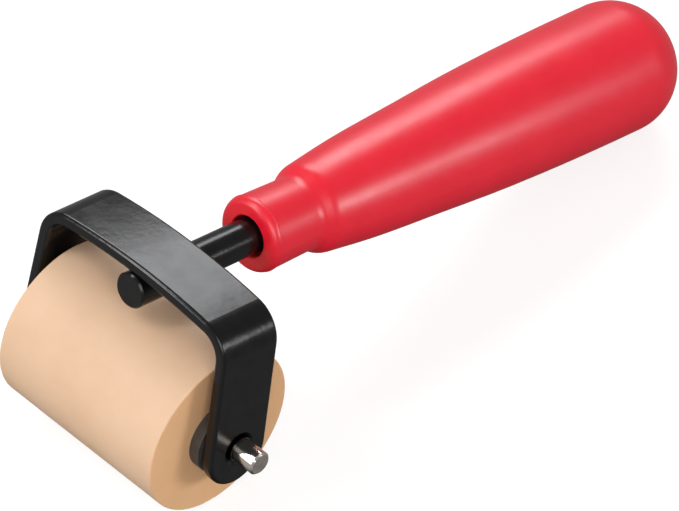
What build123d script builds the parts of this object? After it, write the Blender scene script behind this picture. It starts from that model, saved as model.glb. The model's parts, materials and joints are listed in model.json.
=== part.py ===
from build123d import *
import os
from math import asin, atan2, cos, degrees, hypot, radians, sin, sqrt, tan

# Rubber brayer: a soft roller in a bent steel fork, on a round shank with a moulded handle.
# Millimetres. It is drawn in its design pose: X is the roller's axle, +Y runs from the roller
# towards the handle's butt, +Z from the axle up to the fork's crossbar, and the origin is the
# middle of the axle. REST then lays it down as it lies on a table, on its roller and its butt.

# Roller
ROLLER_LENGTH = 50.8
ROLLER_RADIUS = 20.9
ROLLER_EDGE = 0.35
CORE_RADIUS = 8.0
CORE_BORE_RADIUS = 7.0

# Axle pin, pressed in the legs: a seat through both of them, then a thinner free end
PIN_SEAT_RADIUS = 3.15
PIN_RADIUS = 2.94
PIN_LEFT = -33.1
PIN_SEAT_END = 32.75
PIN_RIGHT = 39.2
PIN_CHAMFER = 0.45

# Hubs: plastic plugs pressed into the core's ends, running on the pin
HUB_RADIUS = 9.0
HUB_STEP_RADIUS = 6.0
HUB_STEP_HEIGHT = 0.45
HUB_PLUG_LENGTH = 12.0
HUB_EDGE = 0.25
RUNNING_CLEARANCE = 0.05
END_PLAY = 0.1

# Fork, bent from flat strip; its legs spread a little towards the roller
FORK_WIDTH = 64.4
LEG_SPREAD = radians(3.3)
STRIP_WIDTH = 17.1
STRIP_THICKNESS = 3.15
STRIP_EDGE_ROUND = 0.9
BEND_RADIUS = 8.7
SHOULDER_HEIGHT = 33.5
CROWN = 1.55
LEG_END = 9.85
COUNTERSINK_DEPTH = 1.1

# Shank, welded under the crossbar
SHANK_RADIUS = 4.37
SHANK_FRONT = -9.2
SHANK_TANG_END = 92.0
SHANK_CHAMFER = 0.4
WELD_DEPTH = 0.15

# Handle
COLLAR_FRONT = 27.85
COLLAR_RADIUS = 9.27
COLLAR_ROUND = 1.9
COLLAR_END = 42.6
COLLAR_END_RADIUS = 8.98
RING_HEIGHT = 0.14
RING_WIDTH = 0.5
MOUTH_RADIUS = 5.09
MOUTH_DEPTH = 6.0
MOUTH_CONE = 1.0
MOUTH_EDGE = 0.3
WAIST_DIP = 0.05
WAIST_PULL = 3.0
SHOULDER_RISE = 0.4
SHOULDER_PULL = 3.6
GRIP_START = 48.4
GRIP_START_RADIUS = 11.05
GRIP_SWELL = ((12.38, 60), (13.80, 80), (15.08, 100), (15.87, 120))
BUTT_RADIUS = 16.25
BUTT_CORNER = 14.75
BUTT_CAP = 22.5
HANDLE_END = 164.8
BORE_RELIEF = 3.0

# How near a rim must be to a radius and to an axis, as a cosine, to be taken for it
SAME_RADIUS = 0.01
SAME_AXIS = 0.99

# Worked out from the dimensions above
HALF_ROLLER = ROLLER_LENGTH / 2
HALF_FORK = FORK_WIDTH / 2
LEG_INNER = HALF_FORK - STRIP_THICKNESS / cos(LEG_SPREAD)
CROWN_TOP = SHOULDER_HEIGHT + CROWN
CROWN_HALF = HALF_FORK - BEND_RADIUS
CROWN_RADIUS = (CROWN_HALF**2 + CROWN**2) / (2 * CROWN)
CROWN_CENTRE = CROWN_TOP - CROWN_RADIUS
SHANK_HEIGHT = CROWN_TOP - STRIP_THICKNESS - SHANK_RADIUS + WELD_DEPTH
CAP_CENTRE = HANDLE_END - BUTT_CAP
BUTT_FLAT = BUTT_RADIUS - BUTT_CORNER
BUTT_CENTRE = CAP_CENTRE + sqrt((BUTT_CAP - BUTT_CORNER) ** 2 - BUTT_FLAT**2)
PIN_BORE_RADIUS = PIN_SEAT_RADIUS + RUNNING_CLEARANCE

# The table is the plane that touches the roller and the butt's rounded corner from below.
CORNER_LOW = SHANK_HEIGHT - BUTT_FLAT
CORNER_HIGH = SHANK_HEIGHT + BUTT_FLAT
CENTRE_LINE = hypot(BUTT_CENTRE, CORNER_LOW)
TILT = atan2(CORNER_LOW, BUTT_CENTRE) + asin((ROLLER_RADIUS - BUTT_CORNER) / CENTRE_LINE)
BUTT_REACH = BUTT_CENTRE * cos(TILT) + CORNER_HIGH * sin(TILT) + BUTT_CORNER
SIDE_MIDDLE = (PIN_LEFT + PIN_RIGHT) / 2
FOOTPRINT_MIDDLE = (BUTT_REACH - ROLLER_RADIUS) / 2
REST = Location((-SIDE_MIDDLE, -FOOTPRINT_MIDDLE, ROLLER_RADIUS), (-degrees(TILT), 0, 0))


def rod(radius, start, end, axis, height=0.0):
    """A round bar from start to end along X or Y, at a height above the axle."""
    plane = Plane.YZ if axis == "X" else Plane.XZ
    along = 1 if axis == "X" else -1
    place = plane.offset(start * along) * Pos(0, height)
    return extrude(place * Circle(radius), amount=(end - start) * along)


def rim_edges(part, axis, radius):
    """The circular edges of one radius that face along an axis."""
    circles = part.edges().filter_by(GeomType.CIRCLE)
    same_size = [edge for edge in circles if abs(edge.radius - radius) < SAME_RADIUS]
    return [edge for edge in same_size if abs(edge.normal().dot(axis)) > SAME_AXIS]


def outermost(edges):
    """The edge that lies furthest along +X."""
    return max(edges, key=lambda edge: edge.center().X)


def strip_outline(inset):
    """The area under the fork's bent outline, drawn in XZ and set in by a distance."""
    slope = tan(LEG_SPREAD)
    at_axle = HALF_FORK - inset / cos(LEG_SPREAD)
    arc_radius = CROWN_RADIUS - inset

    # Where a leg's straight line meets the crown's arc.
    half_sum = at_axle * slope + CROWN_CENTRE
    square = 1 + slope**2
    rest = at_axle**2 + CROWN_CENTRE**2 - arc_radius**2
    corner_height = (half_sum + sqrt(half_sum**2 - square * rest)) / square
    corner = at_axle - slope * corner_height

    foot_height = -2 * LEG_END
    foot = at_axle - slope * foot_height
    with BuildSketch(Plane.XZ) as area:
        with BuildLine():
            ThreePointArc(
                (-corner, corner_height),
                (0, CROWN_CENTRE + arc_radius),
                (corner, corner_height),
            )
            Polyline(
                (corner, corner_height),
                (foot, foot_height),
                (-foot, foot_height),
                (-corner, corner_height),
            )
        make_face()
        corners = area.vertices().group_by(Axis.Y)[-1]
        fillet(corners, BEND_RADIUS - inset)
    return area.sketch


def fork():
    """Flat strip bent into a crowned U, with rounded leg ends and a hole for the pin in each."""
    half_width = STRIP_WIDTH / 2
    section = strip_outline(0) - strip_outline(STRIP_THICKNESS)
    strip = extrude(section, amount=half_width, both=True)

    end_centre = half_width - LEG_END
    side = Plane.YZ * Pos(0, end_centre)
    envelope = side * Circle(half_width)
    envelope += side * Pos(0, CROWN_TOP / 2) * Rectangle(STRIP_WIDTH, CROWN_TOP)
    envelope += side * Pos(0, CROWN_TOP) * Rectangle(STRIP_WIDTH, STRIP_WIDTH)
    strip &= extrude(envelope, amount=HALF_FORK + STRIP_THICKNESS, both=True)
    seams = strip.edges().filter_by(Axis.X) + strip.edges().filter_by(Axis.Y)
    strip = fillet(strip.edges() - seams, STRIP_EDGE_ROUND)

    strip -= rod(PIN_SEAT_RADIUS, -FORK_WIDTH, FORK_WIDTH, "X")
    mouth = Plane.YZ.offset(HALF_FORK - COUNTERSINK_DEPTH) * Circle(PIN_SEAT_RADIUS)
    countersink = extrude(mouth, amount=2 * COUNTERSINK_DEPTH, taper=-45)
    return strip - countersink - mirror(countersink, Plane.YZ)


def shank():
    """Round bar welded under the crossbar; behind it, its tang fills the handle's bore."""
    bar = rod(SHANK_RADIUS, SHANK_FRONT, SHANK_TANG_END, "Y", SHANK_HEIGHT)
    bar = chamfer(rim_edges(bar, Vector(0, 1, 0), SHANK_RADIUS), SHANK_CHAMFER)
    return bar - fork()


def handle():
    """The moulded handle, turned about the shank: collar, shoulder, swelling grip, round butt."""
    front = COLLAR_FRONT
    face_radius = COLLAR_RADIUS - COLLAR_ROUND
    tang_clear = SHANK_TANG_END + BORE_RELIEF
    with BuildSketch(Plane.XY) as half_section:
        with BuildLine():
            mouth = Line((MOUTH_RADIUS + MOUTH_EDGE, front), (face_radius, front))
            collar_edge = RadiusArc(mouth @ 1, (COLLAR_RADIUS, front + COLLAR_ROUND), -COLLAR_ROUND)
            ring = ThreePointArc(
                collar_edge @ 1,
                (COLLAR_RADIUS + RING_HEIGHT, front + COLLAR_ROUND + RING_WIDTH / 2),
                (COLLAR_RADIUS, front + COLLAR_ROUND + RING_WIDTH),
            )
            collar = Line(ring @ 1, (COLLAR_END_RADIUS, COLLAR_END))
            shoulder = Bezier(
                collar @ 1,
                (COLLAR_END_RADIUS - WAIST_DIP, COLLAR_END + WAIST_PULL),
                (GRIP_START_RADIUS - SHOULDER_RISE, GRIP_START - SHOULDER_PULL),
                (GRIP_START_RADIUS, GRIP_START),
            )
            grip = Spline(
                shoulder @ 1,
                *GRIP_SWELL,
                (BUTT_RADIUS, BUTT_CENTRE),
                tangents=(shoulder % 1, (0, 1)),
            )
            turn = atan2(BUTT_FLAT, BUTT_CENTRE - CAP_CENTRE)
            cap_edge = (BUTT_CAP * sin(turn), CAP_CENTRE + BUTT_CAP * cos(turn))
            corner = RadiusArc(grip @ 1, cap_edge, -BUTT_CORNER)
            butt = RadiusArc(corner @ 1, (0, HANDLE_END), -BUTT_CAP)
            Polyline(
                butt @ 1,
                (0, tang_clear),
                (SHANK_RADIUS, tang_clear),
                (SHANK_RADIUS, front + MOUTH_DEPTH),
                (MOUTH_RADIUS, front + MOUTH_DEPTH - MOUTH_CONE),
                (MOUTH_RADIUS, front + MOUTH_EDGE),
                mouth @ 0,
            )
        make_face()
    return Pos(0, 0, SHANK_HEIGHT) * revolve(half_section.sketch, Axis.Y)


def pin():
    """Plated steel axle pin: nearly flush on the left, a free end standing out on the right."""
    bar = rod(PIN_SEAT_RADIUS, PIN_LEFT, PIN_SEAT_END, "X")
    bar += rod(PIN_RADIUS, PIN_SEAT_END, PIN_RIGHT, "X")
    rims = rim_edges(bar, Vector(1, 0, 0), PIN_SEAT_RADIUS) + rim_edges(bar, Vector(1, 0, 0), PIN_RADIUS)
    ends = [min(rims, key=lambda rim: rim.center().X), outermost(rims)]
    return chamfer(ends, PIN_CHAMFER)


def tube(outer, inner, length, edge):
    """A tube about the axle, centred on the origin, with its outer rims broken by a small round."""
    body = rod(outer, -length / 2, length / 2, "X")
    if edge:
        body = fillet(rim_edges(body, Vector(1, 0, 0), outer), edge)
    return body - rod(inner, -length, length, "X")


def hub(side):
    """One end hub: a plug in the core's bore, a flange against the rubber, a thrust step."""
    leg_gap = HUB_STEP_RADIUS * tan(LEG_SPREAD) + END_PLAY
    step_end = LEG_INNER - leg_gap
    flange_end = step_end - HUB_STEP_HEIGHT
    body = rod(HUB_RADIUS, HALF_ROLLER, flange_end, "X")
    body += rod(HUB_STEP_RADIUS, flange_end, step_end, "X")
    body += rod(CORE_BORE_RADIUS, HALF_ROLLER - HUB_PLUG_LENGTH, HALF_ROLLER, "X")
    flange_rim = outermost(rim_edges(body, Vector(1, 0, 0), HUB_RADIUS))
    step_rim = outermost(rim_edges(body, Vector(1, 0, 0), HUB_STEP_RADIUS))
    body = fillet([flange_rim, step_rim], HUB_EDGE)
    body -= rod(PIN_BORE_RADIUS, 0, HALF_FORK, "X")
    if side < 0:
        body = mirror(body, Plane.YZ)
    return body


parts = {
    "roller_rubber": tube(ROLLER_RADIUS, CORE_RADIUS, ROLLER_LENGTH, ROLLER_EDGE),
    "roller_core": tube(CORE_RADIUS, CORE_BORE_RADIUS, ROLLER_LENGTH, 0),
    "hub_left": hub(-1),
    "hub_right": hub(1),
    "axle_pin": pin(),
    "fork": fork(),
    "shank": shank(),
    "handle": handle(),
}
os.makedirs("parts", exist_ok=True)
for name, solid in parts.items():
    export_step(REST * solid, f"parts/{name}.step")
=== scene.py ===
import json
from math import cos, radians, sin

import bpy
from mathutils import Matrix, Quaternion, Vector


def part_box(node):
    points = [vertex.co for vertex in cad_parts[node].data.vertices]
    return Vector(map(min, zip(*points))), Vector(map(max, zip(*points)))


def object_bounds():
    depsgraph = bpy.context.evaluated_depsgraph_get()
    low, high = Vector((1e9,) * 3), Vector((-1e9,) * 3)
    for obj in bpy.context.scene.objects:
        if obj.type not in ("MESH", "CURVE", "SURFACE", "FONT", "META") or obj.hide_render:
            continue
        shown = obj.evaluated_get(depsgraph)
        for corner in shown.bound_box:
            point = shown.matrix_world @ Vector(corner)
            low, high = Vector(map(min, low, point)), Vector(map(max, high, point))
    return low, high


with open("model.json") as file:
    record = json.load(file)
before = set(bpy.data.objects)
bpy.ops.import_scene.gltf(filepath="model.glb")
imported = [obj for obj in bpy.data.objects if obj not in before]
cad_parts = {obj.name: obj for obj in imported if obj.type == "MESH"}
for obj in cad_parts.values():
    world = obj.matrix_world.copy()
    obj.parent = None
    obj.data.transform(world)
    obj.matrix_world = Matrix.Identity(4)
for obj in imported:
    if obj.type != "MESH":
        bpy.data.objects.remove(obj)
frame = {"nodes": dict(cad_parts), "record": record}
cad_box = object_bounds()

# Looks of a rubber brayer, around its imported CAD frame. Metres, in the row frame: the roller and
# the butt rest on z = 0, +Y runs from the roller to the butt, and X is the axle.

RECORD = frame["record"]
NODES = frame["nodes"]
ROLLER_LOW, ROLLER_HIGH = (Vector(corner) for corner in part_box("roller_rubber"))
AXLE = (ROLLER_LOW + ROLLER_HIGH) / 2
MIDDLE = (Vector(cad_box[0]) + Vector(cad_box[1])) / 2

# Camera
VIEW_AZIMUTH = radians(46.09)
VIEW_ELEVATION = radians(45.36)
VIEW_ROLL = radians(0.10)
VIEW_DISTANCE = 1.5584
VIEW_LENS = 354.9
SENSOR = 36.0
CLIP_START = 0.05
CLIP_END = 20.0
AIM = Vector((-0.00332, -0.01071, 0.01503))

# Lights: direction from the object, distance, width, height, turn, power and colour
WHITE = (1.0, 0.985, 0.965)
COOL = (0.97, 0.985, 1.0)
LIGHTS = {
    "key_strip": ((-0.50, -0.66, 0.56), 0.95, 0.14, 1.05, radians(23), 5.7, WHITE),
    "back_left_box": ((-0.58, 0.55, 0.60), 1.0, 0.62, 0.36, 0.0, 5.5, COOL),
    "back_right_box": ((0.85, 0.45, 0.28), 1.0, 0.34, 0.20, 0.0, 3.7, COOL),
    "front_fill": ((0.60, -0.61, 0.52), 1.2, 0.90, 0.60, 0.0, 7.6, WHITE),
}

# Floor: its size, and the glow that keeps its shadows light
FLOOR_SIZE = 6.0
FLOOR_GLOW = 0.72

# Surround: even above, dimmer straight below, brighter in front; bounds are parts of a direction
WORLD_COLOUR = (1.0, 0.975, 0.95)
WORLD_STRENGTH = 0.33
DIM_BELOW = 0.20
DIM_HEIGHT = -0.95
BRIGHT_HEIGHT = -0.60
FRONT_STRENGTH = 0.16
FRONT_START = -0.40
FRONT_FULL = -0.75

# Pin: where the painted dark reflection of the black leg, at the pin's root in the legs' holes, ends,
# out from the roller's middle, in metres
LEG_FACE = Vector(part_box("fork")[1]).x - AXLE.x
PAINTED_REFLECTION_START = LEG_FACE
PAINTED_REFLECTION_FADE = 0.0009
PAINTED_REFLECTION_WAVER = 0.0003
# Painted reflection: the brownish black that stands in for the leg mirrored in the pin's plate
PAINTED_REFLECTION_COLOUR = (0.025, 0.021, 0.018, 1)

# Rubber: how deep the cut end's colour goes, where it blends into the skin's, in metres, and how
# strongly the dark specks show
END_DEPTH = 0.00005
END_BLEND = 0.00030
SPECK_STRENGTH = 0.5


def node(tree, kind, inputs=None, **settings):
    """A shader node with its settings and input values; an input given a socket is linked."""
    made = tree.nodes.new(kind)
    for name, value in settings.items():
        setattr(made, name, value)
    for name, value in (inputs or {}).items():
        if isinstance(value, bpy.types.NodeSocket):
            tree.links.new(value, made.inputs[name])
        else:
            made.inputs[name].default_value = value
    return made


def principled(name, **values):
    """A new material with a Principled shader: (material, its tree, the shader)."""
    material = bpy.data.materials.new(name)
    material.use_nodes = True
    tree = material.node_tree
    shader = tree.nodes["Principled BSDF"]
    for socket, value in values.items():
        shader.inputs[socket.replace("_", " ")].default_value = value
    return material, tree, shader


def noise(tree, vector, scale, detail=2.0, roughness=0.5):
    """Noise with features of 1 / scale metres."""
    inputs = {"Vector": vector, "Scale": scale, "Detail": detail, "Roughness": roughness}
    return node(tree, "ShaderNodeTexNoise", inputs).outputs["Fac"]


def ramp(tree, factor, *stops):
    """A colour ramp: stops are (position, colour or grey)."""
    made = node(tree, "ShaderNodeValToRGB", {"Fac": factor})
    elements = made.color_ramp.elements
    for index, (position, colour) in enumerate(stops):
        element = elements[index] if index < 2 else elements.new(position)
        element.position = position
        if isinstance(colour, (int, float)):
            colour = (colour,) * 3
        element.color = (*colour, 1)
    return made.outputs["Color"]


def bump(tree, shader, *layers):
    """Stacks bump layers, (height, strength, distance in metres), and feeds the shader."""
    normal = None
    for height, strength, distance in layers:
        inputs = {"Height": height, "Strength": strength, "Distance": distance}
        if normal is not None:
            inputs["Normal"] = normal
        normal = node(tree, "ShaderNodeBump", inputs).outputs["Normal"]
    tree.links.new(normal, shader.inputs["Normal"])


def object_place(tree):
    """Object coordinates: metres in the row frame, since the nodes sit at the origin."""
    return node(tree, "ShaderNodeTexCoord").outputs["Object"]


def math(tree, operation, *values):
    """A maths node on numbers and sockets."""
    made = tree.nodes.new("ShaderNodeMath")
    made.operation = operation
    for socket, value in zip(made.inputs, values):
        if isinstance(value, bpy.types.NodeSocket):
            tree.links.new(value, socket)
        else:
            socket.default_value = value
    return made.outputs[0]


def from_middle(tree, place):
    """How far along the axle a point is from the roller's middle, either way."""
    along = node(tree, "ShaderNodeSeparateXYZ", {"Vector": place}).outputs["X"]
    return math(tree, "ABSOLUTE", math(tree, "SUBTRACT", along, AXLE.x))


def around_axle(tree, along_scale, turn_scale):
    """Coordinates that follow the roller's skin: along the axle, round it, and outwards."""
    place = object_place(tree)
    centred = node(tree, "ShaderNodeVectorMath", {0: place, 1: AXLE}, operation="SUBTRACT")
    split = node(tree, "ShaderNodeSeparateXYZ", {"Vector": centred.outputs["Vector"]})
    x, y, z = split.outputs
    angle = math(tree, "ARCTAN2", z, y)
    squares = math(tree, "ADD", math(tree, "MULTIPLY", y, y), math(tree, "MULTIPLY", z, z))
    radius = math(tree, "SQRT", squares)
    inputs = {
        "X": math(tree, "MULTIPLY", x, along_scale),
        "Y": math(tree, "MULTIPLY", angle, turn_scale),
        "Z": math(tree, "MULTIPLY", radius, along_scale),
    }
    return node(tree, "ShaderNodeCombineXYZ", inputs).outputs["Vector"]


def gum_rubber():
    """Tan gum rubber: a paler skin ground smooth, browner cut ends, cloudy, with a fine tooth."""
    material, tree, shader = principled(
        "gum_rubber_mat", IOR=1.45, Subsurface_Weight=0.25, Subsurface_Scale=0.0022
    )
    shader.inputs["Subsurface Radius"].default_value = (1.0, 0.55, 0.3)
    place = object_place(tree)
    cloud = noise(tree, place, 60, 5, 0.6)
    skin = ramp(
        tree,
        cloud,
        (0.30, (0.660, 0.444, 0.292)),
        (0.52, (0.690, 0.473, 0.318)),
        (0.72, (0.705, 0.490, 0.334)),
    )
    cut = ramp(
        tree,
        cloud,
        (0.30, (0.690, 0.395, 0.200)),
        (0.52, (0.730, 0.428, 0.225)),
        (0.72, (0.755, 0.450, 0.243)),
    )
    half = (ROLLER_HIGH.x - ROLLER_LOW.x) / 2
    depths = {
        "Value": from_middle(tree, place),
        "From Min": half - END_BLEND,
        "From Max": half - END_DEPTH,
    }
    on_end = node(tree, "ShaderNodeMapRange", depths)
    body = node(tree, "ShaderNodeMix", data_type="RGBA")
    tree.links.new(on_end.outputs["Result"], body.inputs["Factor"])
    tree.links.new(skin, body.inputs["A"])
    tree.links.new(cut, body.inputs["B"])
    specks = ramp(tree, noise(tree, place, 1900, 3, 0.7), (0.26, 0.84), (0.36, 1.0))
    tinted = node(tree, "ShaderNodeMix", data_type="RGBA", blend_type="MULTIPLY")
    tinted.inputs["Factor"].default_value = SPECK_STRENGTH
    tree.links.new(body.outputs["Result"], tinted.inputs["A"])
    tree.links.new(specks, tinted.inputs["B"])
    tree.links.new(tinted.outputs["Result"], shader.inputs["Base Color"])
    rough = ramp(tree, noise(tree, place, 400, 4), (0.3, 0.52), (0.7, 0.64))
    tree.links.new(rough, shader.inputs["Roughness"])
    lines = noise(tree, around_axle(tree, 1.0, 0.004), 2600, 2, 0.6)
    tooth = noise(tree, place, 3500, 3, 0.65)
    bump(tree, shader, (lines, 0.10, 0.00003), (tooth, 0.16, 0.00004))
    return material


def black_enamel():
    """Glossy black baked enamel: a little orange peel, fine dust nibs, uneven gloss."""
    material, tree, shader = principled("black_enamel_mat", IOR=1.36)
    place = object_place(tree)
    shade = noise(tree, place, 260, 3)
    colour = ramp(tree, shade, (0.3, (0.0028, 0.0028, 0.0032)), (0.7, (0.0055, 0.0055, 0.0060)))
    tree.links.new(colour, shader.inputs["Base Color"])
    rough = ramp(tree, noise(tree, place, 180, 4), (0.3, 0.17), (0.7, 0.24))
    tree.links.new(rough, shader.inputs["Roughness"])
    peel = noise(tree, place, 650, 2, 0.4)
    nibs = ramp(tree, noise(tree, place, 2600, 1), (0.70, 0.0), (0.80, 1.0))
    bump(tree, shader, (peel, 0.20, 0.00012), (nibs, 0.12, 0.00004))
    return material


def nickel():
    """Bright nickel plate over a turned pin: fine rings round it, faint stains, and a painted dark
    reflection of the leg at its root.
    """
    material, tree, shader = principled("nickel_mat", Metallic=1.0)
    place = object_place(tree)
    stains = noise(tree, place, 500, 4)
    plate = ramp(tree, stains, (0.3, (0.62, 0.56, 0.51)), (0.7, (0.76, 0.71, 0.66)))
    # Painted reflection: up to the leg's outer face the pin takes the dark colour of the leg mirrored in
    # it, fading to bright plate just outside
    wavy = math(tree, "ADD", from_middle(tree, place), math(tree, "MULTIPLY", stains, PAINTED_REFLECTION_WAVER))
    bounds = {"Value": wavy, "From Min": PAINTED_REFLECTION_START, "From Max": PAINTED_REFLECTION_START + PAINTED_REFLECTION_FADE}
    past_reflection = node(tree, "ShaderNodeMapRange", bounds)
    plate_with_reflection = node(tree, "ShaderNodeMix", data_type="RGBA")
    plate_with_reflection.inputs["A"].default_value = PAINTED_REFLECTION_COLOUR
    tree.links.new(past_reflection.outputs["Result"], plate_with_reflection.inputs["Factor"])
    tree.links.new(plate, plate_with_reflection.inputs["B"])
    tree.links.new(plate_with_reflection.outputs["Result"], shader.inputs["Base Color"])
    rough = ramp(tree, noise(tree, place, 900, 4), (0.3, 0.12), (0.7, 0.22))
    tree.links.new(rough, shader.inputs["Roughness"])
    rings = noise(tree, around_axle(tree, 1.0, 0.002), 5200, 2, 0.6)
    bump(tree, shader, (rings, 0.12, 0.00002))
    return material


def red_plastic():
    """Satin-gloss red moulding: faint flow clouds, a fine moulded tooth, duller patches."""
    material, tree, shader = principled(
        "red_plastic_mat", IOR=1.56, Subsurface_Weight=0.06, Subsurface_Scale=0.002
    )
    shader.inputs["Subsurface Radius"].default_value = (1.0, 0.15, 0.12)
    place = object_place(tree)
    clouds = noise(tree, place, 55, 4, 0.6)
    colour = ramp(tree, clouds, (0.30, (0.680, 0.0050, 0.0225)), (0.70, (0.740, 0.0080, 0.0285)))
    tree.links.new(colour, shader.inputs["Base Color"])
    rough = ramp(tree, noise(tree, place, 320, 5, 0.6), (0.3, 0.33), (0.7, 0.41))
    tree.links.new(rough, shader.inputs["Roughness"])
    flow = noise(tree, place, 160, 2)
    tooth = noise(tree, place, 3200, 2, 0.6)
    bump(tree, shader, (flow, 0.10, 0.0002), (tooth, 0.10, 0.00003))
    return material


def grey_nylon():
    """Dark grey moulded nylon with a dull, slightly mottled skin."""
    material, tree, shader = principled("grey_nylon_mat", IOR=1.5)
    place = object_place(tree)
    mottle = noise(tree, place, 450, 4)
    colour = ramp(tree, mottle, (0.3, (0.040, 0.037, 0.034)), (0.7, (0.062, 0.058, 0.053)))
    tree.links.new(colour, shader.inputs["Base Color"])
    rough = ramp(tree, noise(tree, place, 900, 3), (0.3, 0.42), (0.7, 0.56))
    tree.links.new(rough, shader.inputs["Roughness"])
    bump(tree, shader, (noise(tree, place, 2400, 3), 0.2, 0.00004))
    return material


def core_steel():
    """Plain drawn steel tube with fine lengthwise scoring."""
    material, tree, shader = principled("core_steel_mat", Metallic=1.0)
    place = object_place(tree)
    colour = ramp(tree, noise(tree, place, 300, 4), (0.3, (0.34, 0.34, 0.35)), (0.7, (0.46, 0.46, 0.47)))
    tree.links.new(colour, shader.inputs["Base Color"])
    rough = ramp(tree, noise(tree, place, 700, 3), (0.3, 0.30), (0.7, 0.45))
    tree.links.new(rough, shader.inputs["Roughness"])
    bump(tree, shader, (noise(tree, around_axle(tree, 0.02, 0.01), 4000, 2), 0.2, 0.00002))
    return material


def floor_paper():
    """Plain pale studio paper that glows, so that shadows on it stay light."""
    material, tree, shader = principled("floor_paper_mat", IOR=1.3, Emission_Strength=FLOOR_GLOW)
    shader.inputs["Emission Color"].default_value = (1, 1, 1, 1)
    place = object_place(tree)
    colour = ramp(tree, noise(tree, place, 9, 3), (0.3, (0.34, 0.34, 0.34)), (0.7, (0.36, 0.36, 0.36)))
    tree.links.new(colour, shader.inputs["Base Color"])
    rough = ramp(tree, noise(tree, place, 300, 3), (0.3, 0.80), (0.7, 0.90))
    tree.links.new(rough, shader.inputs["Roughness"])
    return material


def finish_nodes():
    """Gives every CAD node the material of its slot in the record."""
    made = {
        "gum_rubber": gum_rubber(),
        "black_enamel": black_enamel(),
        "nickel": nickel(),
        "red_plastic": red_plastic(),
        "grey_nylon": grey_nylon(),
        "core_steel": core_steel(),
    }
    for part in RECORD["subparts"]:
        materials = NODES[part["node"]].data.materials
        materials.clear()
        materials.append(made[part["material_slot"]])


def studio():
    """Pale floor, soft light boxes and a plain surround."""
    bpy.ops.mesh.primitive_plane_add(size=FLOOR_SIZE)
    floor = bpy.context.object
    floor.name = "floor"
    floor.data.materials.append(floor_paper())
    floor.visible_glossy = False
    floor.visible_diffuse = False

    for name, (direction, distance, width, height, turn, power, colour) in LIGHTS.items():
        light = bpy.data.lights.new(name, "AREA")
        light.shape = "RECTANGLE"
        light.size = width
        light.size_y = height
        light.energy = power
        light.color = colour
        lamp = bpy.data.objects.new(name, light)
        towards = Vector(direction).normalized()
        lamp.location = MIDDLE + towards * distance
        lamp.rotation_mode = "QUATERNION"
        lamp.rotation_quaternion = towards.to_track_quat("Z", "Y") @ Quaternion((0, 0, 1), turn)
        bpy.context.collection.objects.link(lamp)

    world = bpy.data.worlds.new("studio_world")
    world.use_nodes = True
    tree = world.node_tree
    background = tree.nodes["Background"]
    background.inputs["Color"].default_value = (*WORLD_COLOUR, 1)
    direction = node(tree, "ShaderNodeTexCoord").outputs["Generated"]
    split = node(tree, "ShaderNodeSeparateXYZ", {"Vector": direction}).outputs
    heights = {
        "Value": split["Z"],
        "From Min": DIM_HEIGHT,
        "From Max": BRIGHT_HEIGHT,
        "To Min": DIM_BELOW * WORLD_STRENGTH,
        "To Max": WORLD_STRENGTH,
    }
    front = {
        "Value": split["Y"],
        "From Min": FRONT_START,
        "From Max": FRONT_FULL,
        "To Max": FRONT_STRENGTH,
    }
    even = node(tree, "ShaderNodeMapRange", heights).outputs["Result"]
    extra = node(tree, "ShaderNodeMapRange", front).outputs["Result"]
    tree.links.new(math(tree, "ADD", even, extra), background.inputs["Strength"])
    bpy.context.scene.world = world
    bpy.context.scene.view_settings.view_transform = "Standard"


def camera():
    """A long lens from the front right, above."""
    data = bpy.data.cameras.new("camera")
    data.sensor_width = SENSOR
    data.lens = VIEW_LENS
    data.clip_start = CLIP_START
    data.clip_end = CLIP_END
    eye = bpy.data.objects.new("camera", data)
    level = cos(VIEW_ELEVATION)
    back = Vector((sin(VIEW_AZIMUTH) * level, -cos(VIEW_AZIMUTH) * level, sin(VIEW_ELEVATION)))
    eye.location = AIM + back * VIEW_DISTANCE
    turned = back.to_track_quat("Z", "Y") @ Quaternion((0, 0, 1), VIEW_ROLL)
    eye.rotation_mode = "QUATERNION"
    eye.rotation_quaternion = turned
    bpy.context.collection.objects.link(eye)
    bpy.context.scene.camera = eye


finish_nodes()
studio()
camera()
